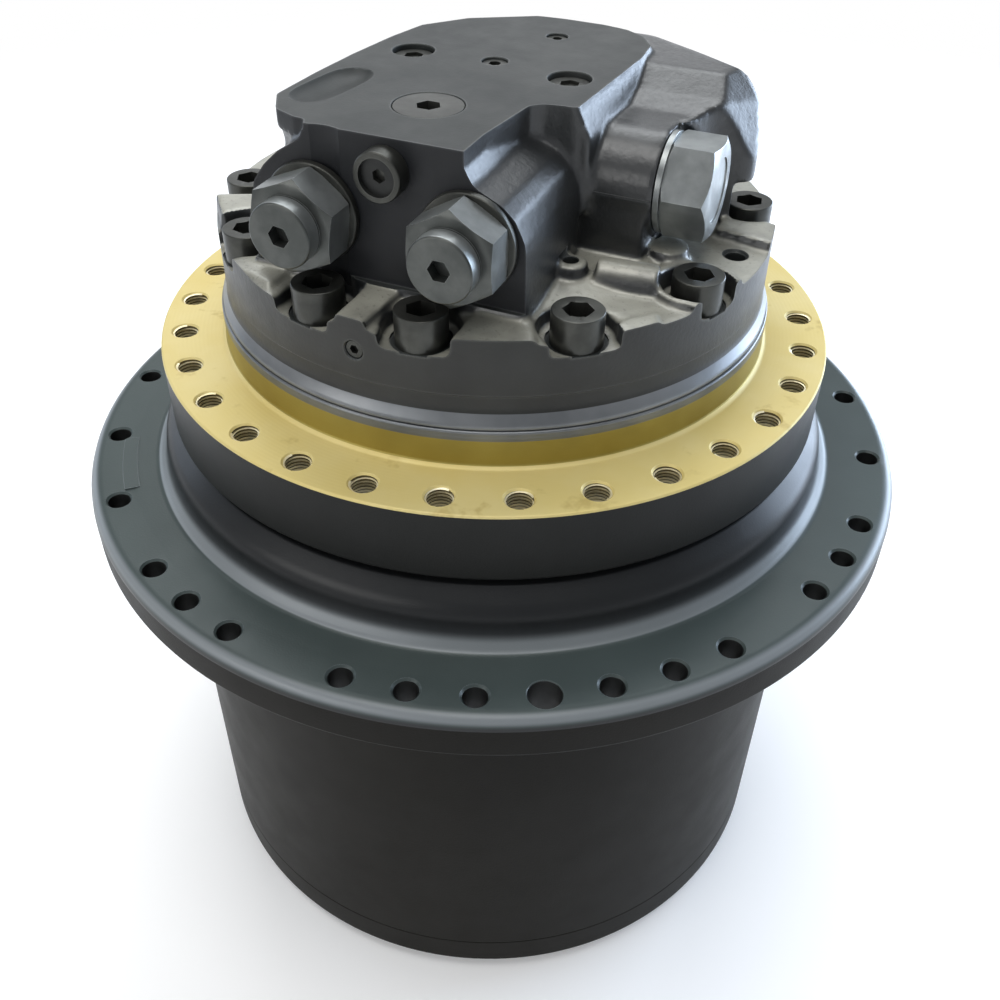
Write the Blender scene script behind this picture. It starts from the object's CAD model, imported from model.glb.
"""Excavator final drive: fine surfaces, finishes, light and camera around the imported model.

Lengths are in metres. Z runs along the drum's axis, and the front of the valve block faces -Y.
"""

import math

import bmesh
import bpy
from bpy.props import FloatProperty, FloatVectorProperty, IntProperty, PointerProperty
from mathutils import Matrix, Vector


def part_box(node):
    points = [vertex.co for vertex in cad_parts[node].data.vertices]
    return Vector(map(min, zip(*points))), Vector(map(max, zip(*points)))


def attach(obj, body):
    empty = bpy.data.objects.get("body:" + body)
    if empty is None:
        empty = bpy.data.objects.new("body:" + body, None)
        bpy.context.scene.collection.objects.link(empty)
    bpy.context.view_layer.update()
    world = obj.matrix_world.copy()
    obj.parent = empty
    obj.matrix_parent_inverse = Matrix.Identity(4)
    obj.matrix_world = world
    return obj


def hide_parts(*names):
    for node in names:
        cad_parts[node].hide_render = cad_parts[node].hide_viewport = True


bl_info = {
    "name": "Excavator Final Drive",
    "version": (1, 0, 0),
    "blender": (4, 5, 0),
    "location": "3D View > Sidebar > Final Drive",
    "description": "Makes the dressed surfaces of an excavator final drive around its packed solids",
    "category": "Object",
}

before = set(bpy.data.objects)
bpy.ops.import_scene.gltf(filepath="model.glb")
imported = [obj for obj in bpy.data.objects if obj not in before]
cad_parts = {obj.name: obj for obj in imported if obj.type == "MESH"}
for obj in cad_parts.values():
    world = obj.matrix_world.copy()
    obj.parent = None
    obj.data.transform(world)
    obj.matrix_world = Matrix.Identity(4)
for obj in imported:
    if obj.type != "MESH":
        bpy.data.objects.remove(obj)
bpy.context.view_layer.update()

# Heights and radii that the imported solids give
DRUM_LOW, DRUM_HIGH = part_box("drum_housing")
HUB_LOW, HUB_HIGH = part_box("spindle_hub")
REAR_LOW, REAR_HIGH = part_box("rear_cover")
_, COVER_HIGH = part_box("end_cover")
FLANGE_RADIUS = DRUM_HIGH.x
DRUM_BOTTOM = DRUM_LOW.z
NECK_TOP = DRUM_HIGH.z
FLANGE_TOP = NECK_TOP - 0.033
FLANGE_BOTTOM = FLANGE_TOP - 0.0278
DRUM_RADIUS = COVER_HIGH.x
SPIGOT_TOP = HUB_HIGH.z
HUB_FACE = SPIGOT_TOP - 0.022
HUB_UNDERSIDE = HUB_FACE - 0.0425
HUB_RADIUS = HUB_HIGH.x
DISC_BOTTOM = SPIGOT_TOP + 0.0003
DISC_TOP = DISC_BOTTOM + 0.046
BLOCK_TOP = REAR_HIGH.z
DISC_RADIUS = 0.1605

# Hole patterns
SPROCKET_CIRCLE = 0.246
SPROCKET_GRID = math.tau / 44
SPROCKET_START = math.radians(192.87)
DOWEL_SLOTS = (13, 35)
FLANGE_PAD_ARC = (math.radians(-149.2), math.radians(-136.2))
FRONT_OFFSETS = (1, 2, 3, 5, 6, 7, 9, 11, 13)
REAR_OFFSETS = (1, 2, 3, 5, 6, 7)
FRAME_CIRCLE = 0.1897
FRAME_HOLES = 30
FRAME_START = math.radians(8.8)
SCREW_CIRCLE = 0.146
SCREW_ANGLES = (18.5, 45.3, 75.2, 98.6, 128.8, 158.2, 198.5, 225.3, 255.2, 278.6, 308.8, 338.2)
SHOULDER_SCREW = 18.5
COLLAR_SCREW = 338.2

# Valve block
FACE = -0.123
SHELF_TOP = BLOCK_TOP - 0.015
VALVE_Z = BLOCK_TOP - 0.043
SPOOL_Y = -0.018
SPOOL_Z = BLOCK_TOP - 0.042
VALVES = (-0.046, 0.038)
PORT_Y = 0.104
PORTS = (-0.040, 0.018)
PORT_Z = DISC_TOP + 0.040
SPOOL_RIGHT = 0.104
SPOOL_LEFT = -0.070

# Plugs: (x, y) of those in the valve block's top, the place of its front plug and of the disc's side plug
FLUSH_PLUG = (-0.005, -0.076)
CENTER_PLUG = (-0.002, 0.0)
LEFT_PLUG = (-0.050, -0.002)
RIGHT_PLUG = (0.0445, -0.009)
GAUGE_PLUG = (0.013, 0.056)
FRONT_PLUG = (-0.005, FACE, BLOCK_TOP - 0.016)
PLUG_COLLAR = 0.0125
SIDE_PLUG_ANGLE = math.radians(-92.9)
SIDE_PLUG_Z = DISC_BOTTOM + 0.034

# Bolts and oil plugs of the end cover
BOLT_CIRCLE = 0.201
BOLTS = 16
OIL_PLUG_CIRCLE = 0.128
OIL_PLUG_ANGLES = (math.radians(60), math.radians(240))

UP = (0.0, 0.0, 1.0)
FRONT, BACK = (0.0, -1.0, 0.0), (0.0, 1.0, 0.0)
LEFT, RIGHT = (-1.0, 0.0, 0.0), (1.0, 0.0, 0.0)

FINE = 192
ROUND = 48
SMALL = 32


# Shaping helpers

def polar(radius, angle):
    return radius * math.cos(angle), radius * math.sin(angle)


def circle(radius, steps, start=0.0):
    return [polar(radius, start + math.tau * step / steps) for step in range(steps)]


def object_from(shape, name):
    """Turn a bmesh into an object, with merged points and faces that point out."""
    bmesh.ops.remove_doubles(shape, verts=shape.verts, dist=1e-7)
    bmesh.ops.recalc_face_normals(shape, faces=shape.faces)
    mesh = bpy.data.meshes.new(name)
    shape.to_mesh(mesh)
    shape.free()
    item = bpy.data.objects.new(name, mesh)
    bpy.context.scene.collection.objects.link(item)
    return item


def rounded(profile, segments=4, closed=True):
    """Turn each corner of (radius, height, rounding) into a short curve. Pairs stay sharp."""
    points = []
    count = len(profile)
    for place, (x, z, *size) in enumerate(profile):
        here = Vector((x, z))
        if not size or (not closed and place in (0, count - 1)):
            points.append((x, z))
            continue
        before = Vector(profile[place - 1][:2]) - here
        after = Vector(profile[(place + 1) % count][:2]) - here
        first = here + before.normalized() * min(size[0], 0.48 * before.length)
        last = here + after.normalized() * min(size[0], 0.48 * after.length)
        for step in range(segments + 1):
            share = step / segments
            point = first * (1 - share) ** 2 + here * 2 * share * (1 - share) + last * share ** 2
            points.append(tuple(point))
    return points


def turned(profile, steps=FINE, closed=False):
    """Spin a profile of (radius, height) points around Z."""
    shape = bmesh.new()
    corners = [shape.verts.new((radius, 0.0, height)) for radius, height in profile]
    edges = [shape.edges.new(pair) for pair in zip(corners, corners[1:])]
    if closed:
        edges.append(shape.edges.new((corners[-1], corners[0])))
    bmesh.ops.spin(
        shape,
        geom=corners + edges,
        cent=(0.0, 0.0, 0.0),
        axis=(0.0, 0.0, 1.0),
        angle=math.tau,
        steps=steps,
        use_merge=True,
    )
    bmesh.ops.remove_doubles(shape, verts=shape.verts, dist=1e-7)
    bmesh.ops.dissolve_degenerate(shape, edges=shape.edges, dist=1e-7)
    return object_from(shape, "turned")


def loft(sections):
    """Close a skin over cross-sections that have the same number of points."""
    shape = bmesh.new()
    rows = [[shape.verts.new(point) for point in section] for section in sections]
    for row, following in zip(rows, rows[1:]):
        for left in range(len(row)):
            right = (left + 1) % len(row)
            shape.faces.new((row[left], row[right], following[right], following[left]))
    shape.faces.new(rows[0])
    shape.faces.new(rows[-1])
    return object_from(shape, "loft")


def prism(outline, bottom, top):
    return loft([[(x, y, height) for x, y in outline] for height in (bottom, top)])


def standing(front, back, start, end):
    """Loft two outlines of (across, height) points along Y."""
    return loft([[(x, start, z) for x, z in front], [(x, end, z) for x, z in back]])


def cylinder(radius, bottom, top, steps=ROUND):
    return prism(circle(radius, steps), bottom, top)


def box(low, high):
    (left, front, bottom), (right, back, top) = low, high
    return prism([(left, front), (right, front), (right, back), (left, back)], bottom, top)


def moved(item, matrix):
    item.data.transform(matrix)
    if matrix.determinant() < 0:
        item.data.flip_normals()
    item.data.update()
    return item


def shifted(item, x=0.0, y=0.0, z=0.0):
    return moved(item, Matrix.Translation((x, y, z)))


def along(item, direction, place=(0.0, 0.0, 0.0), turn=0.0):
    """Lay a shape built along Z along another axis and move it."""
    aim = Vector((0.0, 0.0, 1.0)).rotation_difference(Vector(direction)).to_matrix().to_4x4()
    return moved(item, Matrix.Translation(place) @ aim @ Matrix.Rotation(turn, 4, "Z"))


def settled(item):
    """Replace an object's mesh by the result of its modifiers."""
    graph = bpy.context.evaluated_depsgraph_get()
    mesh = bpy.data.meshes.new_from_object(item.evaluated_get(graph), depsgraph=graph)
    item.modifiers.clear()
    item.data = mesh
    return item


def combine(body, tool, operation, index=0):
    """Exact Boolean of a body and a tool. The new faces take the given material index."""
    tool.data.polygons.foreach_set("material_index", [index] * len(tool.data.polygons))
    modifier = body.modifiers.new("boolean", "BOOLEAN")
    modifier.operation = operation
    modifier.solver = "EXACT"
    modifier.material_mode = "INDEX"
    modifier.object = tool
    settled(body)
    bpy.data.objects.remove(tool, do_unlink=True)
    return body


def cut(body, tool, index=0):
    return combine(body, tool, "DIFFERENCE", index)


def weld(body, tool):
    return combine(body, tool, "UNION")


def gathered(tools):
    """Join solids that don't touch into one object."""
    shape = bmesh.new()
    for tool in tools:
        shape.from_mesh(tool.data)
        bpy.data.objects.remove(tool, do_unlink=True)
    return object_from(shape, "gathered")


def dressed(item, name, finishes, angle=32):
    """Name a piece, give it its materials and shade it smooth between sharp edges."""
    item.name = name
    item.data.name = name
    indices = [face.material_index for face in item.data.polygons]
    item.data.materials.clear()
    for finish in finishes:
        item.data.materials.append(finish)
    item.data.polygons.foreach_set("material_index", indices)
    item.data.shade_smooth()
    item.data.set_sharp_from_angle(angle=math.radians(angle))
    weighted = item.modifiers.new("normals", "WEIGHTED_NORMAL")
    weighted.keep_sharp = True
    return settled(item)


def paint_where(item, index, test):
    """Give a material index to the faces whose centre and normal pass a test."""
    for face in item.data.polygons:
        if test(face.center, face.normal):
            face.material_index = index


# Repeats by Geometry Nodes

def new_tree(name, inputs, output, kinds, wires):
    """Geometry Nodes tree from its sockets, its nodes by short names and the wires between them."""
    tree = bpy.data.node_groups.new(name, "GeometryNodeTree")
    for label, kind in inputs:
        tree.interface.new_socket(label, in_out="INPUT", socket_type="NodeSocket" + kind)
    tree.interface.new_socket(output, in_out="OUTPUT", socket_type="NodeSocketGeometry")
    kinds = {"given": "NodeGroupInput", "result": "NodeGroupOutput", **kinds}
    nodes = {label: tree.nodes.new(kind) for label, kind in kinds.items()}
    for source, leaving, target, entering in wires:
        tree.links.new(nodes[source].outputs[leaving], nodes[target].inputs[entering])
    return tree, nodes


def fed(item, tree, values):
    """Run a tree on an object, its inputs fed by their identifiers, and keep the plain mesh."""
    sockets = {entry.name: entry.identifier for entry in tree.interface.items_tree if entry.in_out == "INPUT"}
    modifier = item.modifiers.new(tree.name, "NODES")
    modifier.node_group = tree
    for label, value in values.items():
        modifier[sockets[label]] = value
    return settled(item)


def copies_tree():
    """Tree that sets a copy of a piece on each point of the seats, with a seeded turn."""
    name = "copies_on_seats"
    if name in bpy.data.node_groups:
        return bpy.data.node_groups[name]
    tree, _ = new_tree(
        name,
        (("Seats", "Geometry"), ("Piece", "Object"), ("Most Turn", "Float"), ("Seed", "Int"), ("Finish", "Material")),
        "Copies",
        {"piece": "GeometryNodeObjectInfo", "turn": "FunctionNodeRandomValue", "spin": "ShaderNodeCombineXYZ",
         "placed": "GeometryNodeInstanceOnPoints", "real": "GeometryNodeRealizeInstances",
         "finish": "GeometryNodeSetMaterial"},
        (("given", "Piece", "piece", "Object"),
         ("given", "Most Turn", "turn", 3),
         ("given", "Seed", "turn", "Seed"),
         ("turn", 1, "spin", "Z"),
         ("given", "Seats", "placed", "Points"),
         ("piece", "Geometry", "placed", "Instance"),
         ("spin", 0, "placed", "Rotation"),
         ("placed", "Instances", "real", "Geometry"),
         ("real", "Geometry", "finish", "Geometry"),
         ("given", "Finish", "finish", "Material"),
         ("finish", "Geometry", "result", "Copies")),
    )
    return tree


def copies(piece, seats, name, finish, seed):
    """One plain mesh of copies of a piece, one on each seat, each with its own turn."""
    shape = bmesh.new()
    for seat in seats:
        shape.verts.new(seat)
    item = object_from(shape, name)
    fed(item, copies_tree(), {"Piece": piece, "Most Turn": math.tau, "Seed": seed, "Finish": finish})
    bpy.data.objects.remove(piece, do_unlink=True)
    return dressed(item, name, [finish])


def thread_tree():
    """Tree that sweeps a small triangle along a spiral: the ridge of a tapped hole."""
    tree, nodes = new_tree(
        "thread_ridge",
        (("Radius", "Float"), ("Pitch", "Float"), ("Turns", "Float"), ("Steps", "Int"), ("Ridge", "Float")),
        "Thread",
        {"spiral": "GeometryNodeCurveSpiral", "height": "ShaderNodeMath",
         "section": "GeometryNodeCurvePrimitiveCircle", "sweep": "GeometryNodeCurveToMesh",
         "real": "GeometryNodeRealizeInstances"},
        (("given", "Steps", "spiral", "Resolution"),
         ("given", "Turns", "spiral", "Rotations"),
         ("given", "Radius", "spiral", "Start Radius"),
         ("given", "Radius", "spiral", "End Radius"),
         ("given", "Pitch", "height", 0),
         ("given", "Turns", "height", 1),
         ("height", 0, "spiral", "Height"),
         ("given", "Ridge", "section", "Radius"),
         ("spiral", "Curve", "sweep", "Curve"),
         ("section", "Curve", "sweep", "Profile Curve"),
         ("sweep", "Mesh", "real", "Geometry"),
         ("real", "Geometry", "result", "Thread")),
    )
    nodes["height"].operation = "MULTIPLY"
    nodes["section"].inputs["Resolution"].default_value = 3
    nodes["sweep"].inputs["Fill Caps"].default_value = True
    return tree


def thread_ridge(radius, pitch, turns, ridge):
    values = {"Radius": radius, "Pitch": pitch, "Turns": turns, "Steps": 20, "Ridge": ridge}
    return fed(object_from(bmesh.new(), "ridge"), thread_tree(), values)


# Materials made so far, the height where dust ends, and how close turning lines lie

FINISHES = {}
DUST_TOP = 0.50
TURNING_LINES = 2600.0


class Value:
    """A socket in a material. Arithmetic on it adds Math nodes."""

    def __init__(self, maker, socket):
        self.maker = maker
        self.socket = socket

    def math(self, operation, *others):
        inputs = dict(enumerate((self, *others)))
        return self.maker.node("ShaderNodeMath", {"operation": operation}, inputs)

    def __add__(self, other):
        return self.math("ADD", other)

    def __mul__(self, other):
        return self.math("MULTIPLY", other)

    def __sub__(self, other):
        return self.math("SUBTRACT", other)

    def __rsub__(self, other):
        return self.maker.node("ShaderNodeMath", {"operation": "SUBTRACT"}, {0: other, 1: self})

    def between(self, low, high):
        """0 below low, 1 above high, smooth in the middle."""
        settings = {"interpolation_type": "SMOOTHSTEP"}
        return self.maker.node("ShaderNodeMapRange", settings, {"Value": self, "From Min": low, "From Max": high})


class Finish:
    """A material under construction."""

    def __init__(self, name):
        self.material = bpy.data.materials.new(name)
        self.material.use_nodes = True
        self.tree = self.material.node_tree
        self.shader = self.tree.nodes["Principled BSDF"]
        self.place = self.node("ShaderNodeTexCoord", {}, {}, "Object")

    def node(self, kind, settings, inputs, output=0):
        made = self.tree.nodes.new(kind)
        for key, value in settings.items():
            setattr(made, key, value)
        for key, value in inputs.items():
            self.feed(made.inputs[key], value)
        return Value(self, made.outputs[output])

    def feed(self, socket, value):
        if isinstance(value, Value):
            self.tree.links.new(value.socket, socket)
        else:
            socket.default_value = value

    def set(self, **values):
        for key, value in values.items():
            self.feed(self.shader.inputs[key.replace("_", " ")], value)
        return self.material

    def noise(self, scale, detail=3.0, roughness=0.55):
        inputs = {"Vector": self.place, "Scale": scale, "Detail": detail, "Roughness": roughness}
        return self.node("ShaderNodeTexNoise", {}, inputs)

    def blend(self, first, second, share):
        inputs = {0: share, 6: self.colour(first), 7: self.colour(second)}
        return self.node("ShaderNodeMix", {"data_type": "RGBA"}, inputs, 2)

    def colour(self, value):
        return value if isinstance(value, Value) else (*value, 1.0)

    def xyz(self, vector=None):
        made = self.node("ShaderNodeSeparateXYZ", {}, {0: vector or self.place})
        owner = made.socket.node
        return [Value(self, owner.outputs[axis]) for axis in range(3)]

    def axis_distance(self):
        x, y, _ = self.xyz()
        return (x * x + y * y).math("SQRT")

    def edges(self, reach=0.0012, low=0.02, high=0.30):
        """Mask of the edges, from how far a rounded normal leaves the plain one."""
        soft = self.node("ShaderNodeBevel", {"samples": 4}, {"Radius": reach})
        plain = self.node("ShaderNodeNewGeometry", {}, {}, "Normal")
        same = self.node("ShaderNodeVectorMath", {"operation": "DOT_PRODUCT"}, {0: soft, 1: plain}, "Value")
        return (1.0 - same).between(low, high)

    def bump(self, height, distance, strength=1.0, normal=None):
        inputs = {"Height": height, "Distance": distance, "Strength": strength}
        if normal is not None:
            inputs["Normal"] = normal
        return self.node("ShaderNodeBump", {}, inputs)


def scaled(colour, gain, lift=0.0):
    return tuple(min(1.0, gain * part + lift) for part in colour)


def painted(name, base, light, roughness, metallic=0.0, grain=900.0, relief=0.00008, wear=0.35, blotch=7.0,
            shine=0.5):
    """Thin dark paint over iron: soft blotches, fine grain and lighter edges."""
    finish = Finish(name)
    colour = finish.blend(base, light, finish.noise(blotch, 4.0).between(0.30, 0.72))
    if wear:
        worn = finish.edges(0.0010 + 0.0012 * wear, 0.02, 0.34 - 0.28 * wear) * wear
        colour = finish.blend(colour, scaled(light, 2.6, 0.03), worn)
    rough = finish.noise(blotch * 5.0) * 0.16 + (roughness - 0.08)
    normal = finish.bump(finish.noise(grain, 2.0), relief)
    return finish.set(Base_Color=colour, Roughness=rough, Metallic=metallic, Normal=normal, Specular_IOR_Level=shine)


def flange_paint(name, base, rubbed, dark):
    """Grey paint of the flange: dark on the neck, rubbed bright in the neck's fillet and on the rim."""
    finish = Finish(name)
    radius = finish.axis_distance()
    _, _, height = finish.xyz()
    uneven = finish.noise(5.0, 2.0).between(0.25, 0.75) * 0.45 + 0.55
    neck = 1.0 - radius.between(0.2128, 0.2150)
    fillet = radius.between(0.2118, 0.2152) * (1.0 - radius.between(0.2184, 0.2194))
    rim = radius.between(FLANGE_RADIUS - 0.0066, FLANGE_RADIUS - 0.0028)
    upper = height.between(FLANGE_TOP - 0.0060, FLANGE_TOP - 0.0030)
    colour = finish.blend(base, scaled(base, 1.25), finish.noise(8.0, 4.0).between(0.30, 0.72))
    colour = finish.blend(colour, dark, neck)
    colour = finish.blend(colour, rubbed, fillet * uneven)
    colour = finish.blend(colour, rubbed, rim * upper * 0.8)
    colour = finish.blend(dark, colour, height.between(FLANGE_TOP - 0.0075, FLANGE_TOP - 0.0040))
    colour = finish.blend(colour, scaled(rubbed, 2.2), finish.edges(0.0008) * 0.3)
    rough = finish.noise(40.0) * 0.16 + 0.28
    normal = finish.bump(finish.noise(900.0, 2.0), 0.00006)
    return finish.set(Base_Color=colour, Roughness=rough, Metallic=0.1, Normal=normal, Specular_IOR_Level=0.3)


def cast_iron(name, base, light, roughness, metallic=0.35, dust=None, shine=0.5):
    """Painted casting: sand grain in two sizes, rubbed edges and pale dust on low faces that look up."""
    finish = Finish(name)
    sand = finish.noise(420.0, 3.0, 0.6)
    lumps = finish.noise(70.0, 3.0, 0.5)
    colour = finish.blend(base, light, finish.noise(9.0, 4.0).between(0.32, 0.70))
    if dust:
        _, _, facing = finish.xyz(finish.node("ShaderNodeNewGeometry", {}, {}, "Normal"))
        _, _, height = finish.xyz()
        low = 1.0 - height.between(DUST_TOP - 0.012, DUST_TOP + 0.022)
        patchy = finish.noise(26.0, 4.0, 0.6).between(0.25, 0.60) * 0.5 + 0.5
        colour = finish.blend(colour, dust, facing.between(0.35, 0.95) * low * patchy)
    colour = finish.blend(colour, scaled(base, 0.6), sand.between(0.56, 0.75) * 0.35)
    colour = finish.blend(colour, scaled(light, 2.4, 0.02), finish.edges(0.0020, 0.01, 0.14) * 0.45)
    normal = finish.bump(lumps, 0.0009, 0.5, finish.bump(sand, 0.00025, 0.55))
    rough = sand * 0.22 + (roughness - 0.11)
    return finish.set(Base_Color=colour, Roughness=rough, Metallic=metallic, Normal=normal, Specular_IOR_Level=shine)


def turned_metal(name, base, light, roughness, metallic=0.9, relief=0.00003, wear=0.35, patches=None):
    """Machined metal with turning lines around the drum's axis."""
    finish = Finish(name)
    radius = finish.axis_distance()
    _, _, height = finish.xyz()
    wave = (radius * TURNING_LINES + height * TURNING_LINES).math("SINE")
    colour = finish.blend(base, light, finish.noise(14.0, 4.0).between(0.30, 0.75))
    if patches:
        colour = finish.blend(colour, patches, finish.noise(34.0, 4.0, 0.6).between(0.60, 0.70) * 0.6)
    if wear:
        colour = finish.blend(colour, scaled(light, 1.5, 0.05), finish.edges() * wear)
    rough = finish.noise(45.0, 4.0) * 0.18 + (roughness - 0.09)
    normal = finish.bump(wave, relief, 0.5)
    return finish.set(Base_Color=colour, Roughness=rough, Metallic=metallic, Normal=normal)


def plain_metal(name, base, light, roughness, metallic=0.85, wear=0.4):
    """Ground or blackened steel for screws, valves and inner pieces."""
    finish = Finish(name)
    colour = finish.blend(base, light, finish.noise(60.0, 4.0).between(0.30, 0.72))
    if wear:
        colour = finish.blend(colour, scaled(light, 1.9, 0.03), finish.edges(0.0009) * wear)
    rough = finish.noise(190.0) * 0.2 + (roughness - 0.1)
    normal = finish.bump(finish.noise(1400.0, 2.0), 0.00004, 0.6)
    return finish.set(Base_Color=colour, Roughness=rough, Metallic=metallic, Normal=normal)


def finishes():
    """All materials of the drive, made once."""
    if FINISHES:
        return FINISHES
    settings = bpy.context.scene.drive_finish
    paint, casting = tuple(settings.drum), tuple(settings.casting)
    FINISHES.update(
        drum=painted("drum_paint_fine", paint, scaled(paint, 1.35), 0.45, shine=0.08),
        flange=flange_paint("flange_paint_fine", tuple(settings.flange), (0.23, 0.25, 0.265), (0.013, 0.014, 0.015)),
        hub_side=painted("hub_paint_fine", (0.008, 0.0084, 0.0078), (0.012, 0.0125, 0.0112), 0.40, shine=0.20),
        gold=turned_metal("zinc_yellow_fine", tuple(settings.plating), (0.66, 0.56, 0.26), 0.54, 0.22,
                          relief=0.00002, patches=(0.42, 0.31, 0.09)),
        spigot=turned_metal("zinc_spigot_fine", (0.28, 0.215, 0.040), (0.37, 0.30, 0.07), 0.46, 0.5, relief=0.00002),
        casting=cast_iron("casting_fine", casting, scaled(casting, 1.5), 0.37, 0.2, (0.33, 0.325, 0.275), 0.95),
        machined=painted("casting_machined_fine", (0.022, 0.025, 0.025), (0.042, 0.045, 0.044), 0.44, 0.1, 600.0,
                         0.00005, 0.8, 16.0, 0.2),
        face=painted("front_face_fine", (0.012, 0.013, 0.015), (0.019, 0.020, 0.022), 0.44, 0.0, 600.0, 0.00005, 0.6,
                     16.0, 0.25),
        disc_side=painted("disc_side_fine", (0.010, 0.0105, 0.009), (0.018, 0.019, 0.0165), 0.40, 0.0, 420.0, 0.00012,
                          0.8, 20.0, 0.45),
        hollow=plain_metal("hollow_fine", (0.012, 0.013, 0.013), (0.025, 0.026, 0.025), 0.5, 0.4, 0.0),
        bare=turned_metal("casting_edge_fine", (0.13, 0.14, 0.15), (0.24, 0.25, 0.26), 0.36, 0.7),
        screw=plain_metal("black_oxide_fine", (0.040, 0.041, 0.037), (0.070, 0.071, 0.064), 0.36, 0.75),
        fitting=plain_metal("fitting_fine", (0.065, 0.070, 0.067), (0.105, 0.110, 0.105), 0.38, 0.8),
        cap=plain_metal("cap_fine", (0.20, 0.213, 0.213), (0.28, 0.297, 0.297), 0.34, 0.7),
        thread=plain_metal("thread_fine", (0.80, 0.70, 0.42), (0.90, 0.84, 0.62), 0.36, 0.5, 0.0),
        bore=plain_metal("tapped_bore_fine", (0.10, 0.080, 0.038), (0.16, 0.13, 0.07), 0.42, 0.5, 0.0),
        gear=plain_metal("gear_steel_fine", (0.24, 0.24, 0.23), (0.34, 0.34, 0.33), 0.34, 0.95, 0.0),
        ductile=cast_iron("ductile_iron_fine", (0.13, 0.13, 0.125), (0.20, 0.20, 0.19), 0.5, 0.7),
        bearing=turned_metal("bearing_steel_fine", (0.44, 0.45, 0.46), (0.58, 0.59, 0.60), 0.2, 1.0, wear=0.0),
        seal=turned_metal("seal_iron_fine", (0.20, 0.20, 0.20), (0.30, 0.30, 0.29), 0.26, 0.9, wear=0.0),
        shaft=plain_metal("shaft_steel_fine", (0.32, 0.32, 0.32), (0.44, 0.44, 0.44), 0.28, 0.95, 0.0),
        bronze=plain_metal("bronze_fine", (0.40, 0.26, 0.12), (0.54, 0.38, 0.19), 0.34, 0.95, 0.0),
        lining=painted("lining_fine", (0.11, 0.075, 0.05), (0.17, 0.12, 0.08), 0.8, 0.0, 1200.0, 0.00015, 0.0),
    )
    return FINISHES



def colour_setting(name, description, default):
    return FloatVectorProperty(name=name, description=description, subtype="COLOR", default=default, min=0.0, max=1.0)


def length_setting(name, description, default, low, high):
    return FloatProperty(name=name, description=description, default=default, min=low, max=high, subtype="DISTANCE",
                         unit="LENGTH")


class FinishSettings(bpy.types.PropertyGroup):
    """Colours of the visible finishes."""

    drum: colour_setting("Drum Paint", "Dark paint of the drum's side", (0.0075, 0.0068, 0.0052))
    flange: colour_setting("Flange Paint", "Grey of the sprocket flange", (0.046, 0.060, 0.059))
    plating: colour_setting("Yellow Plating", "Zinc plating of the frame flange", (0.62, 0.50, 0.18))
    casting: colour_setting("Casting Paint", "Dark paint of the rear cover", (0.017, 0.0185, 0.0195))


class ShapeSettings(bpy.types.PropertyGroup):
    """Sizes of the fine shapes."""

    voxel: length_setting("Casting Grid", "Grid size of the casting's soft skin", 0.0017, 0.001, 0.01)
    soften: IntProperty(name="Casting Softening", description="Rounds of smoothing on the casting", default=6,
                        min=0, max=30)
    thread_pitch: length_setting("Thread Pitch", "Pitch of the tapped frame holes", 0.002, 0.0005, 0.01)
    countersink: length_setting("Hole Chamfer", "Chamfer at the mouth of each hole", 0.0012, 0.0, 0.005)


def drill(radius, bottom, top, chamfer, steps=SMALL, both=False):
    """Drilling tool with a chamfer at its mouth, and at its end too when it goes right through."""
    over = 0.004
    wide = radius + chamfer + over
    if both:
        profile = [(0.0, bottom - over), (wide, bottom - over), (radius, bottom + chamfer)]
    else:
        profile = [(0.0, bottom), (radius, bottom)]
    return turned(profile + [(radius, top - chamfer), (wide, top + over), (0.0, top + over)], steps)


def bore(radius, depth, chamfer, steps=SMALL):
    """Drill whose mouth lies at the origin, ready to be laid along an axis."""
    return shifted(drill(radius, 0.0, depth, chamfer, steps), z=-depth)


def given_looks(item, keys):
    """Give an object its materials before a cut, and return them in the same order."""
    materials = [finishes()[key] for key in keys]
    for material in materials:
        item.data.materials.append(material)
    return materials


def sprocket_angles():
    front, rear = DOWEL_SLOTS
    slots = [front + sign * offset for offset in FRONT_OFFSETS for sign in (-1, 1)]
    slots += [rear + sign * offset for offset in REAR_OFFSETS for sign in (-1, 1)]
    return [SPROCKET_START + slot * SPROCKET_GRID for slot in slots]


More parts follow.
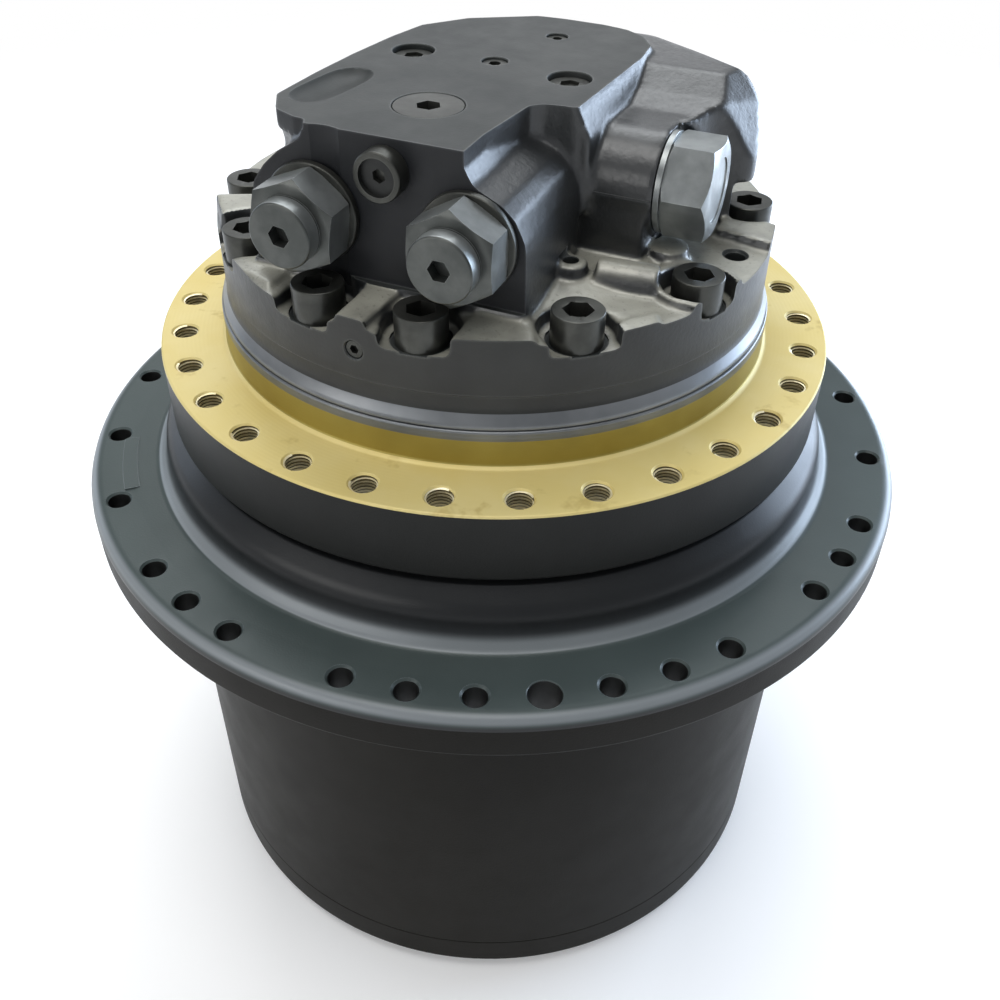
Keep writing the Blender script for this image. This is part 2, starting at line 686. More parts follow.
class DRIVE_OT_drum(bpy.types.Operator):
    """Make the drum with its sprocket flange, holes and seal neck"""

    bl_idname = "drive.drum"
    bl_label = "Drum Housing"

    def execute(self, context):
        chamfer = context.scene.drive_shape.countersink
        side, floor = 0.172, FLANGE_TOP + 0.009
        profile = [
            (0.1879, DRUM_BOTTOM), (DRUM_RADIUS, DRUM_BOTTOM, 0.0006), (DRUM_RADIUS, FLANGE_BOTTOM - 0.012, 0.002),
            (0.225, FLANGE_BOTTOM - 0.0105, 0.0012), (0.225, FLANGE_BOTTOM, 0.001),
            (FLANGE_RADIUS, FLANGE_BOTTOM, 0.002), (FLANGE_RADIUS, FLANGE_TOP, 0.0085),
            (0.2355, FLANGE_TOP), (0.2345, FLANGE_TOP + 0.0004),
            (0.2186, FLANGE_TOP + 0.0006, 0.0030), (0.2130, FLANGE_TOP + 0.0072, 0.0030),
            (0.2112, NECK_TOP - 0.0110, 0.0060), (0.2000, NECK_TOP, 0.0012),
            (0.190, NECK_TOP, 0.0008), (0.190, floor), (side, floor), (side, 0.2804), (0.163, 0.2804),
            (0.163, 0.2619), (side, 0.2619), (side, 0.190), (0.1879, 0.190),
        ]
        body = turned(rounded(profile, 5), FINE, closed=True)
        low, high = FLANGE_PAD_ARC
        angles = [low + (high - low) * step / 12 for step in range(13)]
        plate = [polar(0.2415, angle) for angle in angles] + [polar(0.2325, angle) for angle in reversed(angles)]
        weld(body, prism(plate, FLANGE_TOP - 0.002, FLANGE_TOP + 0.0011))
        holes = []
        for angle in sprocket_angles():
            tool = drill(0.0068, FLANGE_BOTTOM, FLANGE_TOP, chamfer, 24, both=True)
            holes.append(shifted(tool, *polar(SPROCKET_CIRCLE, angle)))
        for slot in DOWEL_SLOTS:
            tool = drill(0.0092, FLANGE_BOTTOM, FLANGE_TOP, 0.0004, 28, both=True)
            holes.append(shifted(tool, *polar(SPROCKET_CIRCLE, SPROCKET_START + slot * SPROCKET_GRID)))
        looks = given_looks(body, ("drum", "flange", "hollow"))
        paint_where(body, 1, lambda centre, normal: centre.z > FLANGE_TOP - 0.007)
        cut(body, gathered(holes), 2)
        mouth = FLANGE_TOP - 1.1 * chamfer
        paint_where(body, 1, lambda centre, normal: centre.z > mouth and 0.2 < normal.z < 0.98)
        dressed(body, "drum_housing_fine", looks)
        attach(body, "drum")
        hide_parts("drum_housing")
        return {"FINISHED"}


class DRIVE_OT_end_cover(bpy.types.Operator):
    """Make the end cover with its ring of bolts and its two oil plugs"""

    bl_idname = "drive.end_cover"
    bl_label = "End Cover"

    def execute(self, context):
        top = COVER_HIGH.z
        profile = [
            (0.0, 0.0), (0.150, 0.0), (0.152, 0.0012), (0.166, 0.0012), (0.168, 0.0), (DRUM_RADIUS, 0.0, 0.004),
            (DRUM_RADIUS, 0.025, 0.0008), (0.1876, 0.025), (0.1876, 0.033), (0.165, 0.033), (0.165, 0.016),
            (0.022, 0.016), (0.022, top), (0.0, top),
        ]
        body = turned(rounded(profile, 4, closed=False), FINE)
        seats = [(*polar(BOLT_CIRCLE, math.tau * (number + 0.5) / BOLTS), 0.0) for number in range(BOLTS)]
        tools = [shifted(cylinder(0.0105, -0.01, 0.0135, SMALL), x, y) for x, y, _ in seats]
        well = [(0.0, -0.01), (0.0195, -0.01), (0.0175, 0.0008), (0.0175, 0.0113), (0.0123, 0.0113),
                (0.0123, 0.05), (0.0, 0.05)]
        for angle in OIL_PLUG_ANGLES:
            tools.append(shifted(turned(well, SMALL), *polar(OIL_PLUG_CIRCLE, angle)))
        looks = given_looks(body, ("drum", "hollow"))
        cut(body, gathered(tools), 1)
        dressed(body, "end_cover_fine", looks)
        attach(body, "drum")
        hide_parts("end_cover")
        screw = finishes()["screw"]
        head = socket_screw(0.0090, 0.0115, 0.0062, 0.0055, 0.0)
        moved(head, Matrix.Rotation(math.pi, 4, "X") @ Matrix.Translation((0.0, 0.0, -0.0133)))
        bolts = copies(head, seats, "end_cover_bolts", screw, 3)
        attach(bolts, "drum")
        shape = [(0.0, 0.0030), (0.0170, 0.0030, 0.0008), (0.0170, 0.011), (0.012, 0.011), (0.012, 0.016),
                 (0.0, 0.016)]
        for number, angle in enumerate(OIL_PLUG_ANGLES, start=1):
            plug = turned(rounded(shape, 3, closed=False), ROUND)
            cut(plug, prism(circle(0.0072, 6), -0.01, 0.0094))
            dressed(shifted(plug, *polar(OIL_PLUG_CIRCLE, angle)), f"oil_plug_{number}_fine", [screw])
            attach(plug, "drum")
            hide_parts(f"oil_plug_{number}")
        return {"FINISHED"}


def socket_screw(radius, height, socket, depth, bottom):
    """Socket head with a chamfered top edge and a hexagon socket."""
    profile = [(0.0, bottom), (radius, bottom), (radius, height, 0.0009), (0.0, height)]
    head = turned(rounded(profile, 3, closed=False), ROUND)
    over = height + 0.004
    cut(head, prism(circle(socket, 6), height - depth, over))
    cone = [(0.0, height - 0.15 * socket), (socket * 1.08, height + 0.0002), (socket * 1.08, over), (0.0, over)]
    return cut(head, turned(cone, ROUND))


class DRIVE_OT_hub(bpy.types.Operator):
    """Make the spindle hub with its plated frame flange and tapped holes"""

    bl_idname = "drive.hub"
    bl_label = "Spindle Hub"

    def execute(self, context):
        low = HUB_LOW.z
        spigot, step = 0.165, 0.1655
        profile = [
            (0.0603, low), (0.126, low, 0.001), (0.126, 0.2213), (0.138, 0.2213), (0.138, 0.321), (0.148, 0.321),
            (0.148, 0.332), (0.160, 0.332), (0.160, 0.3782), (0.190, 0.3782), (0.190, HUB_UNDERSIDE, 0.001),
            (HUB_RADIUS, HUB_UNDERSIDE, 0.0016), (HUB_RADIUS, HUB_FACE, 0.0014), (0.1672, HUB_FACE, 0.0012),
            (spigot, HUB_FACE + 0.0020, 0.0008), (spigot, SPIGOT_TOP - 0.0055), (spigot, SPIGOT_TOP, 0.0012),
            (0.112, SPIGOT_TOP), (0.112, 0.3660), (0.104, 0.3660), (0.104, 0.2549), (0.0453, 0.2549),
            (0.0453, 0.2346), (0.034, 0.2346), (0.034, 0.2286), (0.0603, 0.2286),
        ]
        body = turned(rounded(profile, 4), FINE, closed=True)
        looks = given_looks(body, ("hub_side", "gold", "spigot", "bore", "bare"))
        paint_where(body, 1, lambda centre, normal: centre.z > HUB_FACE - 0.0018 and centre.xy.length > step)
        paint_where(body, 2, lambda centre, normal: centre.z > HUB_FACE - 0.0018 and centre.xy.length <= step)
        paint_where(body, 4, lambda centre, normal: centre.z > SPIGOT_TOP - 0.0052 and centre.xy.length <= step)
        places = [polar(FRAME_CIRCLE, FRAME_START + math.tau * number / FRAME_HOLES) for number in range(FRAME_HOLES)]
        mouths = [shifted(drill(0.0074, HUB_FACE - 0.034, HUB_FACE, 0.0011), *place) for place in places]
        cut(body, gathered(mouths), 1)
        paint_where(body, 3, lambda centre, normal: HUB_FACE - 0.0345 < centre.z < HUB_FACE - 0.0011
                    and centre.xy.length > 0.1695 and abs(centre.xy.length - FRAME_CIRCLE) < 0.0078)
        dressed(body, "spindle_hub_fine", looks)
        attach(body, "hub")
        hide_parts("spindle_hub")
        pitch, turns = context.scene.drive_shape.thread_pitch, 7.0
        ridge = thread_ridge(0.0073, pitch, turns, pitch * 0.36)
        seats = [(*place, HUB_FACE - turns * pitch - 0.0012) for place in places]
        threads = copies(ridge, seats, "frame_hole_threads", finishes()["thread"], 5)
        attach(threads, "hub")
        return {"FINISHED"}


# Flanks of the valve block seen from the front: (across, drop below its top)
RIGHT_FLANK = ((0.0672, 0.045), (0.0665, 0.039), (0.0614, 0.0287), (0.0546, 0.0226), (0.0403, 0.016),
               (0.0355, 0.008), (0.0355, -0.004))
LEFT_FLANK = ((-0.048, -0.004), (-0.0503, 0.0076), (-0.0647, 0.0165), (-0.0735, 0.0247), (-0.0804, 0.034),
              (-0.083, 0.045))

# Plans of its upper plate and shoulder, and the slopes that cut the shoulder: (normal, place)
PLATE_PLAN = ((-0.056, -0.118), (0.0335, -0.118), (0.0405, -0.056), (0.046, -0.0508), (0.055, -0.0492),
              (0.0629, -0.049), (0.0685, 0.0404), (0.067, 0.062), (0.058, 0.077), (0.0457, 0.0855),
              (0.030, 0.0895), (0.005, 0.0905), (-0.0114, 0.0895), (-0.0478, 0.0668), (-0.0666, 0.0425),
              (-0.0724, 0.0146), (-0.0769, -0.0221), (-0.0795, -0.0585), (-0.0803, -0.0944), (-0.0700, -0.1120))
SHOULDER_PLAN = ((0.030, -0.012), (0.104, -0.012), (0.119, 0.022), (0.1435, 0.0315), (0.1330, 0.0560),
                 (0.094, 0.082), (0.060, 0.102), (0.030, 0.102))
SHOULDER_SLOPES = (((0.845, -0.322, 0.427), (0.1210, 0.0256, 0.5445)),
                   ((0.614, -0.159, 0.773), (0.117, 0.051, 0.5518)))


def softened(item, width, segments):
    """Round every edge of a simple block."""
    shape = bmesh.new()
    shape.from_mesh(item.data)
    bmesh.ops.bevel(shape, geom=list(shape.edges), offset=width, segments=segments, profile=0.5, affect="EDGES")
    bpy.data.objects.remove(item, do_unlink=True)
    return object_from(shape, "block")


def pad(corners, bottom, top, lean=0.0015):
    """Raised cast pad whose sides lean in toward its top."""
    middle = Vector((sum(x for x, _ in corners), sum(y for _, y in corners))) / len(corners)
    upper = []
    for corner in corners:
        reach = Vector(corner) - middle
        upper.append((*(middle + reach * (1 - lean / reach.length)), top))
    return loft([[(x, y, bottom) for x, y in corners], upper])


def valve_block():
    """Plate, front flanks, inclined wall, shoulder, spool housing and port block."""
    root = DISC_TOP - 0.010
    block = prism(PLATE_PLAN, DISC_TOP - 0.004, BLOCK_TOP + 0.003)
    notch = cylinder(0.0135, -0.040, 0.040, SMALL)
    cut(block, along(notch, (-0.80, 0.60, -0.05), (-0.0740, -0.1140, BLOCK_TOP - 0.0230)))
    flanks = [(across, BLOCK_TOP - drop) for across, drop in RIGHT_FLANK + LEFT_FLANK]
    section = [(LEFT_FLANK[-1][0] - 0.001, root), (RIGHT_FLANK[0][0] + 0.001, root)] + flanks
    rear = [(0.5 * x if x < 0 else x, z) for x, z in section]
    weld(block, standing(section, section, FACE - 0.003, -0.100))
    weld(block, standing(rear, rear, -0.102, -0.0475))
    low = [(0.050, -0.0485), (0.0705, -0.0475), (0.0755, 0.048), (0.050, 0.060)]
    high = [(0.050, -0.0485), (0.0624, -0.0482), (0.0680, 0.0404), (0.050, 0.050)]
    weld(block, loft([[(x, y, 0.500) for x, y in low], [(x, y, SHELF_TOP - 0.001) for x, y in low],
                      [(x, y, BLOCK_TOP + 0.001) for x, y in high]]))
    shoulder = softened(prism(SHOULDER_PLAN, root, BLOCK_TOP - 0.0032), 0.009, 3)
    slope = [(-0.030, SHELF_TOP), (0.006, SHELF_TOP), (0.024, SHELF_TOP + 0.004), (0.044, BLOCK_TOP - 0.003),
             (0.044, BLOCK_TOP + 0.02), (-0.030, BLOCK_TOP + 0.02)]
    cut(shoulder, moved(prism(slope, 0.0, 0.2), Matrix(((0, 0, 1, 0), (1, 0, 0, 0), (0, 1, 0, 0), (0, 0, 0, 1)))))
    for normal, place in SHOULDER_SLOPES:
        cut(shoulder, along(box((-0.06, -0.06, 0.0), (0.06, 0.06, 0.05)), normal, place))
    weld(block, shoulder)
    axis = (0.0, SPOOL_Y, SPOOL_Z)
    weld(block, along(cylinder(0.0272, -0.0775, 0.1055, 64), RIGHT, axis))
    weld(block, box((0.0, SPOOL_Y - 0.0262, root), (0.1015, SPOOL_Y + 0.0262, SPOOL_Z)))
    cut(block, along(cylinder(0.0300, 0.1042, 0.160, 64), RIGHT, axis))
    ports = box((PORTS[0] - 0.020, 0.0, root), (PORTS[1] + 0.020, PORT_Y + 0.0015, PORT_Z + 0.026))
    weld(block, softened(ports, 0.006, 2))
    return block


def casting_blank():
    """Rough casting before its skin is softened: disc, valve block, pads, ribs and screw wells."""
    root = DISC_TOP - 0.012
    rim = DISC_TOP + 0.0028
    profile = [
        (0.0, REAR_LOW.z - 0.002), (0.1135, REAR_LOW.z - 0.002), (0.1135, DISC_BOTTOM - 0.002),
        (0.1665, DISC_BOTTOM - 0.002), (0.1665, DISC_BOTTOM + 0.0040), (0.1635, DISC_BOTTOM + 0.0120),
        (0.1635, DISC_TOP + 0.0005), (0.1590, DISC_TOP + 0.0010, 0.002), (0.1280, DISC_TOP + 0.0015, 0.004),
        (0.1120, DISC_TOP + 0.0055, 0.004), (0.0, DISC_TOP + 0.0055),
    ]
    body = turned(rounded(profile, 3, closed=False), 128)
    weld(body, valve_block())
    for corners, top, lean in (
        (((0.0390, -0.1640), (0.0410, -0.1270), (0.0700, -0.1180), (0.0840, -0.1460)), rim + 0.0012, 0.0015),
        (((-0.0180, -0.1640), (-0.0185, -0.1180), (0.0020, -0.1180), (-0.0005, -0.1640)), rim + 0.0034, 0.0015),
        (((-0.1045, -0.1320), (-0.0930, -0.1120), (-0.0600, -0.1120), (-0.0620, -0.1460), (-0.0800, -0.1420)),
         rim + 0.0010, 0.004),
        (((-0.1450, -0.0760), (-0.1240, -0.0640), (-0.0980, -0.0700), (-0.0960, -0.0900), (-0.1180, -0.1080)),
         DISC_TOP + 0.0120, 0.004),
        (((0.1260, 0.0080), (0.1640, 0.0020), (0.1620, 0.0290), (0.1290, 0.0420)), rim + 0.0040, 0.002),
        (((0.1050, -0.1080), (0.1140, -0.1180), (0.1310, -0.1000), (0.1240, -0.0860)), rim + 0.0004, 0.0015),
    ):
        weld(body, pad(corners, root, top, lean))
    rib = cylinder(0.0105, -0.0165, 0.0165, SMALL)
    weld(body, along(rib, (0.99, 0.10, 0.0), (0.1010, -0.0640, DISC_TOP + 0.0035)))
    foot = ((0.0850, -0.0720), (0.0850, -0.0560), (0.1180, -0.0530), (0.1190, -0.0690))
    weld(body, pad(foot, root, DISC_TOP + 0.0060))
    weld(body, shifted(cylinder(0.0243, root, DISC_TOP + 0.0062), *polar(SCREW_CIRCLE, math.radians(COLLAR_SCREW))))
    weld(body, shifted(cylinder(0.0092, root, DISC_TOP + 0.0130, SMALL), 0.072, -0.072))
    weld(body, shifted(cylinder(0.0115, root, DISC_TOP + 0.0105, SMALL), 0.1115, -0.0285))
    bottom = DISC_TOP - 0.0068
    for degrees in SCREW_ANGLES:
        angle = math.radians(degrees)
        high = DISC_TOP + 0.026 if degrees == SHOULDER_SCREW else BLOCK_TOP + 0.02
        well = cylinder(0.0200, bottom, high)
        if degrees != COLLAR_SCREW:
            weld(well, box((0.0, -0.0185, bottom), (0.040, 0.0185, high)))
        place = Matrix.Translation((*polar(SCREW_CIRCLE, angle), 0.0)) @ Matrix.Rotation(angle, 4, "Z")
        cut(body, moved(well, place))
    step = ((0.118, -0.112), (0.131, -0.099), (0.138, -0.090), (0.150, -0.096), (0.150, -0.130), (0.120, -0.130))
    return cut(body, prism(step, DISC_TOP - 0.0055, DISC_TOP + 0.03))


def dish():
    """Tool of the long shallow dish beside the flush plug."""
    half = 0.036
    shares = [step / 24 - 1 for step in range(49)]
    tool = turned([(0.0188 * math.sqrt(1 - share ** 4), half * share) for share in shares], 96)
    return along(tool, (0.12, 1.0, 0.0), (-0.0625, -0.070, BLOCK_TOP + 0.0140))


def planes():
    """Blocks that mill the front face, the port face and the right end of the spool housing flat."""
    over = BLOCK_TOP + 0.05
    return [
        box((-0.2, -0.3, DISC_TOP + 0.0068), (0.2, FACE, over)),
        box((-0.2, PORT_Y, DISC_TOP + 0.012), (0.2, 0.3, over)),
        box((SPOOL_RIGHT, -0.050, DISC_TOP + 0.0115), (0.2, -0.004, over)),
    ]


def bores():
    """Tools of the screw seats, plug bores, valve bores and ports of the rear cover."""
    tools = []
    for degrees in SCREW_ANGLES:
        x, y = polar(SCREW_CIRCLE, math.radians(degrees))
        tools.append(shifted(cylinder(0.0160, DISC_TOP - 0.008, DISC_TOP - 0.002, SMALL), x, y))
    for place, outward, radius, depth in (
        (FRONT_PLUG, FRONT, 0.0088, 0.018),
        ((*FLUSH_PLUG, BLOCK_TOP), UP, 0.0184, 0.018),
        ((*CENTER_PLUG, BLOCK_TOP), UP, 0.0073, 0.014),
        ((*LEFT_PLUG, BLOCK_TOP), UP, 0.0118, 0.0180),
        ((*RIGHT_PLUG, BLOCK_TOP), UP, 0.0118, 0.0180),
        ((*GAUGE_PLUG, BLOCK_TOP), UP, 0.0063, 0.012),
        ((0.1445, -0.007, DISC_TOP), UP, 0.0058, 0.020),
        ((0.072, -0.072, DISC_TOP + 0.013), UP, 0.0042, 0.012),
        ((VALVES[0], FACE, VALVE_Z), FRONT, 0.0163, 0.036),
        ((VALVES[1], FACE, VALVE_Z), FRONT, 0.0163, 0.036),
        ((SPOOL_RIGHT, SPOOL_Y, SPOOL_Z), RIGHT, 0.0183, 0.020),
        ((SPOOL_LEFT, SPOOL_Y, SPOOL_Z), LEFT, 0.0183, 0.020),
    ):
        tools.append(along(bore(radius, depth, 0.0003, ROUND if radius > 0.01 else 24), outward, place))
    tools.append(along(cylinder(0.0335, 0.0, 0.03), LEFT, (SPOOL_LEFT, SPOOL_Y, SPOOL_Z)))
    for across in PORTS:
        tools.append(along(bore(0.0125, 0.030, 0.0015), BACK, (across, PORT_Y, PORT_Z)))
        for side in (-0.0131, 0.0131):
            for rise in (-0.0215, 0.0215):
                tools.append(along(bore(0.0042, 0.020, 0.0008, 20), BACK, (across + side, PORT_Y, PORT_Z + rise)))
    outward = (*polar(1.0, SIDE_PLUG_ANGLE), 0.0)
    tools.append(along(bore(0.0052, 0.010, 0.0006, 24), outward, (*polar(DISC_RADIUS, SIDE_PLUG_ANGLE), SIDE_PLUG_Z)))
    return tools


# Edge of the disc from below: (beyond its radius, above its bottom)
DISC_EDGE = ((0.0030, 0.0), (0.0034, 0.0005), (0.0034, 0.0022), (0.0028, 0.0034), (0.0016, 0.0056), (0.0005, 0.0082),
             (-0.0004, 0.0112), (-0.0004, 0.0176), (0.0001, 0.0182), (0.0, 0.0190))

# Triangles of the casting's skin at most, before its bores
MOST_TRIANGLES = 110000


class DRIVE_OT_rear_cover(bpy.types.Operator):
    """Make the rear cover casting with its valve block"""

    bl_idname = "drive.rear_cover"
    bl_label = "Rear Cover"

    def execute(self, context):
        shape = context.scene.drive_shape
        body = casting_blank()
        skin = body.modifiers.new("skin", "REMESH")
        skin.mode = "VOXEL"
        skin.voxel_size = shape.voxel * 1.0
        soft = body.modifiers.new("soften", "SMOOTH")
        soft.factor = 0.5
        soft.iterations = shape.soften
        settled(body)
        thin = body.modifiers.new("thin", "DECIMATE")
        thin.ratio = min(1.0, MOST_TRIANGLES / max(1, 2 * len(body.data.polygons)))
        settled(body)
        looks = given_looks(body, ("casting", "machined", "hollow", "bare", "face", "disc_side"))
        envelope = [(0.0, REAR_LOW.z), (0.1117, REAR_LOW.z), (0.1117, DISC_BOTTOM)]
        envelope += [(DISC_RADIUS + reach, DISC_BOTTOM + rise) for reach, rise in DISC_EDGE]
        envelope += [(DISC_RADIUS, BLOCK_TOP), (0.0, BLOCK_TOP)]
        combine(body, turned(envelope, FINE), "INTERSECT", 0)
        for tool in planes():
            cut(body, tool, 1)
        cut(body, dish(), 1)
        weld(body, box((0.068, SPOOL_Y - 0.0276, SPOOL_Z - 0.0016), (0.1035, SPOOL_Y - 0.020, SPOOL_Z - 0.0004)))
        cut(body, gathered(bores()), 1)
        level = BLOCK_TOP - 0.00005
        paint_where(body, 1, lambda centre, normal: centre.z > level and normal.z > 0.99)
        paint_where(body, 5, lambda centre, normal: centre.xy.length > DISC_RADIUS - 0.001
                    and centre.z < DISC_TOP + 0.012 and abs(normal.z) < 0.5)
        paint_where(body, 3, lambda centre, normal: centre.xy.length > 0.155 and centre.z < DISC_BOTTOM + 0.0084)
        paint_where(body, 4, lambda centre, normal: normal.y < -0.85 and centre.y < -0.108
                    and centre.z > DISC_TOP + 0.010 and centre.x < 0.062)
        dressed(body, "rear_cover_fine", looks, 38)
        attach(body, "hub")
        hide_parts("rear_cover")
        return {"FINISHED"}


class DRIVE_OT_cover_screws(bpy.types.Operator):
    """Make the socket head screws of the rear cover and the small plug in its side"""

    bl_idname = "drive.cover_screws"
    bl_label = "Cover Screws"

    def execute(self, context):
        screw = finishes()["screw"]
        seats = [(*polar(SCREW_CIRCLE, math.radians(degrees)), DISC_TOP - 0.0078) for degrees in SCREW_ANGLES]
        screws = copies(socket_screw(0.0135, 0.018, 0.0081, 0.009, -0.0003), seats, "cover_screws", screw, 11)
        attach(screws, "hub")
        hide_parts(*[f"cover_screw_{number:02d}" for number in range(1, len(SCREW_ANGLES) + 1)])
        plug = socket_screw(0.0050, 0.004, 0.0026, 0.003, 0.0)
        outward = (*polar(1.0, SIDE_PLUG_ANGLE), 0.0)
        along(plug, outward, (*polar(DISC_RADIUS - 0.005, SIDE_PLUG_ANGLE), SIDE_PLUG_Z))
        dressed(plug, "side_plug", [screw])
        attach(plug, "hub")
        return {"FINISHED"}


def hexagon_nut(radius, bottom, top):
    """Hexagon with turned chamfers at its corners."""
    nut = prism(circle(radius, 6, math.pi / 6), bottom, top)
    flat = radius * math.cos(math.pi / 6)
    lean = (radius - flat) * 0.62
    wide = radius * 1.01
    cone = [(0.0, bottom), (flat, bottom), (wide, bottom + lean), (wide, top - lean), (flat * 0.99, top), (0.0, top)]
    return combine(nut, turned(cone, 96), "INTERSECT")


def collar(shank, depth, radius, height, lower, upper):
    """Round washer of a fitting on its shank, with roundings at the washer's two edges."""
    profile = [(0.0, -depth), (shank, -depth, 0.001), (shank, 0.0003), (radius, 0.0003, lower),
               (radius, height, upper), (0.0, height)]
    return turned(rounded(profile, 3, False), 96)


class DRIVE_OT_relief_valves(bpy.types.Operator):
    """Make the two relief valves of the front face"""

    bl_idname = "drive.relief_valves"
    bl_label = "Relief Valves"

    def execute(self, context):
        nose_profile = [(0.0, 0.02), (0.0168, 0.02), (0.0168, 0.0340, 0.0014), (0.0, 0.0340)]
        groove = [(0.0162, 0.0243), (0.0180, 0.0243), (0.0180, 0.0252), (0.0162, 0.0252)]
        for across, name, turn in zip(VALVES, ("relief_valve_left", "relief_valve_right"), (-0.13, 0.0)):
            valve = collar(0.0160, 0.034, 0.0255, 0.0045, 0.0009, 0.0012)
            looks = given_looks(valve, ("fitting", "screw", "cap"))
            paint_where(valve, 1, lambda centre, normal: True)
            weld(valve, hexagon_nut(0.0250, 0.0040, 0.0240))
            weld(valve, turned(rounded(nose_profile, 4, False), 96))
            cut(valve, prism(circle(0.0058, 6), 0.0270, 0.04))
            cut(valve, turned(groove, 96, closed=True))
            paint_where(valve, 2, lambda centre, normal: centre.z > 0.0046 and normal.z < 0.5
                        and centre.xy.length > 0.01)
            along(valve, FRONT, (across, FACE, VALVE_Z), turn)
            dressed(valve, name + "_fine", looks)
            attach(valve, "hub")
            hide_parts(name)
        return {"FINISHED"}


class DRIVE_OT_spool_caps(bpy.types.Operator):
    """Make the hexagon caps at both ends of the spool housing"""

    bl_idname = "drive.spool_caps"
    bl_label = "Spool Caps"

    def execute(self, context):
        for name, place, outward, length in (
            ("spool_cap_right", SPOOL_RIGHT, RIGHT, 0.028),
            ("spool_cap_left", SPOOL_LEFT, LEFT, 0.012),
        ):
            cap = collar(0.0180, 0.020, 0.0262, 0.0035, 0.0005, 0.0005)
            weld(cap, hexagon_nut(0.0275, 0.0030, length))
            floor, over = length - 0.0008, length + 0.001
            cut(cap, turned([(0.0, floor), (0.0165, floor), (0.0172, over), (0.0, over)], ROUND))
            along(cap, outward, (place, SPOOL_Y, SPOOL_Z), -0.03)
            dressed(cap, name + "_fine", [finishes()["cap"]])
            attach(cap, "hub")
            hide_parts(name)
        return {"FINISHED"}


class DRIVE_OT_plugs(bpy.types.Operator):
    """Make the port plugs of the valve block"""

    bl_idname = "drive.plugs"
    bl_label = "Port Plugs"

    def execute(self, context):
        for name, place, outward, radius, socket, depth, head, deep in (
            ("front_port_plug", FRONT_PLUG, FRONT, 0.0085, 0.0036, 0.016, 0.010, 0.0065),
            ("flush_port_plug", (*FLUSH_PLUG, BLOCK_TOP), UP, 0.0180, 0.0066, 0.016, -0.0002, 0.005),
            ("center_plug", (*CENTER_PLUG, BLOCK_TOP - 0.001), UP, 0.0070, 0.0036, 0.012, -0.0002, 0.005),
            ("recessed_plug_left", (*LEFT_PLUG, BLOCK_TOP - 0.003), UP, 0.0110, 0.0056, 0.014, 0.0003, 0.0018),
            ("recessed_plug_right", (*RIGHT_PLUG, BLOCK_TOP - 0.003), UP, 0.0110, 0.0056, 0.014, 0.0003, 0.0018),
            ("gauge_port_plug", (*GAUGE_PLUG, BLOCK_TOP - 0.001), UP, 0.0060, 0.0030, 0.010, -0.0002, 0.005),
        ):
            rim = [(radius, head, 0.0006)]
            if name == "front_port_plug":
                rim = [(radius, 0.0003), (PLUG_COLLAR, 0.0003), (PLUG_COLLAR, head, 0.0012)]
            plug = turned(rounded([(0.0, -depth), (radius, -depth), *rim, (0.0, head)], 3, False), 64)
            looks = [finishes()["screw"], finishes()["hollow"]]
            if name == "front_port_plug":
                given_looks(plug, ("screw", "hollow"))
                cut(plug, cylinder(0.76 * PLUG_COLLAR, head - 0.0030, head + 0.004), 1)
            cut(plug, prism(circle(socket, 6), head - deep, head + 0.004))
            along(plug, outward, place, 0.3 + 40.0 * radius)
            dressed(plug, name + "_fine", looks)
            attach(plug, "hub")
            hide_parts(name)
        return {"FINISHED"}


SLOT_LOOKS = {
    "drum_paint": "drum",
    "zinc_yellow": "gold",
    "motor_casting": "casting",
    "black_oxide": "screw",
    "dark_fitting": "fitting",
    "case_hardened_steel": "gear",
    "ductile_iron": "ductile",
    "bearing_steel": "bearing",
    "seal_iron": "seal",
    "shaft_steel": "shaft",
    "bronze": "bronze",
    "friction_paper": "lining",
}


class DRIVE_OT_inner_pieces(bpy.types.Operator):
    """Give the gears, carriers, bearings and motor pieces inside the drum their finishes"""

    bl_idname = "drive.inner_pieces"
    bl_label = "Inner Pieces"

    def execute(self, context):
        looks = finishes()
        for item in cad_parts.values():
            for slot in item.material_slots:
                name = slot.material.name.split(".")[0]
                if name not in SLOT_LOOKS:
                    raise ValueError(f"{item.name} has a material slot without a finish: {name}")
                slot.material = looks[SLOT_LOOKS[name]]
        return {"FINISHED"}


# Lamps: (name, place, (width, height), power in watts, colour)
LAMPS = (
    ("front", (-0.9, -1.9, 1.05), (1.6, 0.7), 12.0, (1.0, 0.99, 0.97)),
    ("overhead", (-0.1, -0.5, 2.3), (1.8, 1.0), 22.0, (1.0, 0.99, 0.97)),
    ("ceiling", (-0.55, 1.25, 2.25), (2.0, 1.1), 30.0, (0.95, 0.98, 1.0)),
    ("backdrop_window", (-1.3, 2.3, 0.95), (2.2, 1.0), 8.0, (0.97, 0.98, 1.0)),
    ("blue_window", (1.45, 1.85, 0.66), (1.9, 1.25), 80.0, (0.66, 0.80, 1.0)),
    ("side_window", (-2.3, 0.3, 0.75), (1.2, 0.9), 6.0, (0.70, 0.83, 1.0)),
)
LAMP_AIM = Vector((0.0, 0.0, 0.40))

# Camera solved from the photo's two hole circles
CAMERA_PLACE = (0.233334, -0.555080, 0.742376)
CAMERA_RIGHT = Vector((0.920632, 0.390170, 0.014325))
CAMERA_UP = Vector((-0.257712, 0.579710, 0.772995))
CAMERA_LOOK = Vector((-0.293295, 0.715335, -0.634251))
CAMERA_LENS = 38.918


def lamp(scene, name, place, size, power, colour):
    light = bpy.data.lights.new(name, "AREA")
    light.shape = "RECTANGLE"
    light.size, light.size_y = size
    light.energy = power
    light.color = colour
    item = bpy.data.objects.new(name, light)
    item.location = place
    item.rotation_euler = (LAMP_AIM - Vector(place)).to_track_quat("-Z", "Y").to_euler()
    scene.collection.objects.link(item)


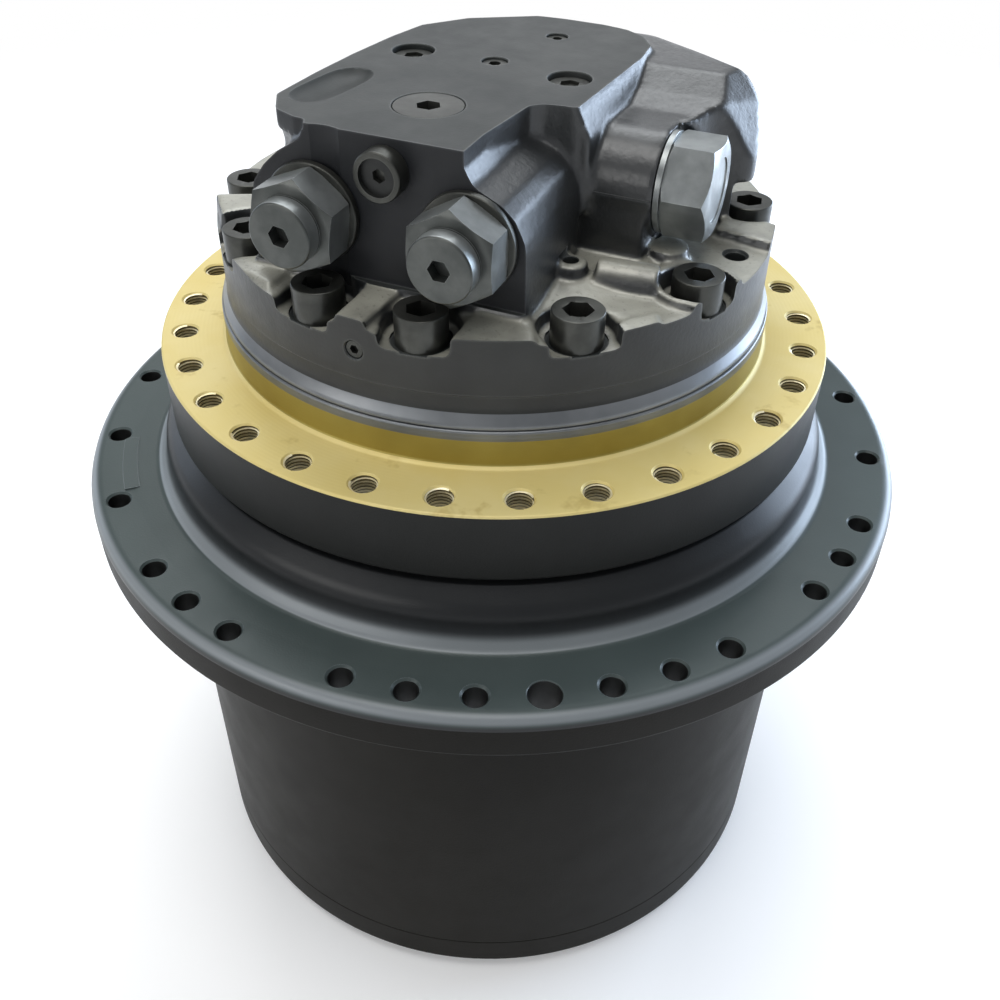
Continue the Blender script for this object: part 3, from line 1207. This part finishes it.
class DRIVE_OT_stage(bpy.types.Operator):
    """Set the pale floor, the white surroundings, the lamps and the camera"""

    bl_idname = "drive.stage"
    bl_label = "Stage"

    def execute(self, context):
        scene = context.scene
        floor = prism(circle(6.0, 96), -0.013, -0.012)
        ground = Finish("floor_pale")
        seen = ground.node("ShaderNodeLightPath", {}, {}, "Is Camera Ray")
        far = ground.axis_distance().between(0.9, 2.2) * seen
        ground.set(Base_Color=ground.blend((0.92, 0.92, 0.92), (0.0, 0.0, 0.0), far), Roughness=0.9,
                   Specular_IOR_Level=0.0, Emission_Strength=1.0,
                   Emission_Color=ground.blend((0.16, 0.16, 0.16), (1.0, 1.0, 1.0), far))
        dressed(floor, "floor", [ground.material])

        world = bpy.data.worlds.new("surroundings")
        scene.world = world
        world.use_nodes = True
        tree = world.node_tree
        tree.nodes.clear()
        path = tree.nodes.new("ShaderNodeLightPath")
        seen = tree.nodes.new("ShaderNodeBackground")
        seen.inputs["Color"].default_value = (1.0, 1.0, 1.0, 1.0)
        ambient = tree.nodes.new("ShaderNodeBackground")
        ambient.inputs["Color"].default_value = (0.92, 0.95, 1.0, 1.0)
        ambient.inputs["Strength"].default_value = 0.38
        mixed = tree.nodes.new("ShaderNodeMixShader")
        output = tree.nodes.new("ShaderNodeOutputWorld")
        tree.links.new(path.outputs["Is Camera Ray"], mixed.inputs[0])
        tree.links.new(ambient.outputs[0], mixed.inputs[1])
        tree.links.new(seen.outputs[0], mixed.inputs[2])
        tree.links.new(mixed.outputs[0], output.inputs["Surface"])

        for row in LAMPS:
            lamp(scene, *row)

        data = bpy.data.cameras.new("camera")
        data.lens = CAMERA_LENS
        data.sensor_width = 36.0
        camera = bpy.data.objects.new("camera", data)
        turn = Matrix((CAMERA_RIGHT, CAMERA_UP, -CAMERA_LOOK)).transposed().to_4x4()
        camera.matrix_world = Matrix.Translation(CAMERA_PLACE) @ turn
        scene.collection.objects.link(camera)
        scene.camera = camera
        scene.view_settings.view_transform = "Standard"
        return {"FINISHED"}


STEPS = (DRIVE_OT_drum, DRIVE_OT_end_cover, DRIVE_OT_hub, DRIVE_OT_rear_cover, DRIVE_OT_cover_screws,
         DRIVE_OT_relief_valves, DRIVE_OT_spool_caps, DRIVE_OT_plugs, DRIVE_OT_inner_pieces, DRIVE_OT_stage)


class DRIVE_PT_panel(bpy.types.Panel):
    """Settings and steps of the final drive"""

    bl_idname = "DRIVE_PT_panel"
    bl_label = "Final Drive"
    bl_space_type = "VIEW_3D"
    bl_region_type = "UI"
    bl_category = "Final Drive"

    def draw(self, context):
        layout = self.layout
        for settings in (context.scene.drive_finish, context.scene.drive_shape):
            for name in settings.bl_rna.properties.keys():
                if name not in ("rna_type", "name"):
                    layout.prop(settings, name)
        for step in STEPS:
            layout.operator(step.bl_idname)


CLASSES = (FinishSettings, ShapeSettings, *STEPS, DRIVE_PT_panel)


def register():
    for item in CLASSES:
        bpy.utils.register_class(item)
    bpy.types.Scene.drive_finish = PointerProperty(type=FinishSettings)
    bpy.types.Scene.drive_shape = PointerProperty(type=ShapeSettings)


def unregister():
    del bpy.types.Scene.drive_shape
    del bpy.types.Scene.drive_finish
    for item in reversed(CLASSES):
        bpy.utils.unregister_class(item)


def main():
    register()
    for step in STEPS:
        group, name = step.bl_idname.split(".")
        getattr(getattr(bpy.ops, group), name)()


if __name__ == "__main__":
    main()
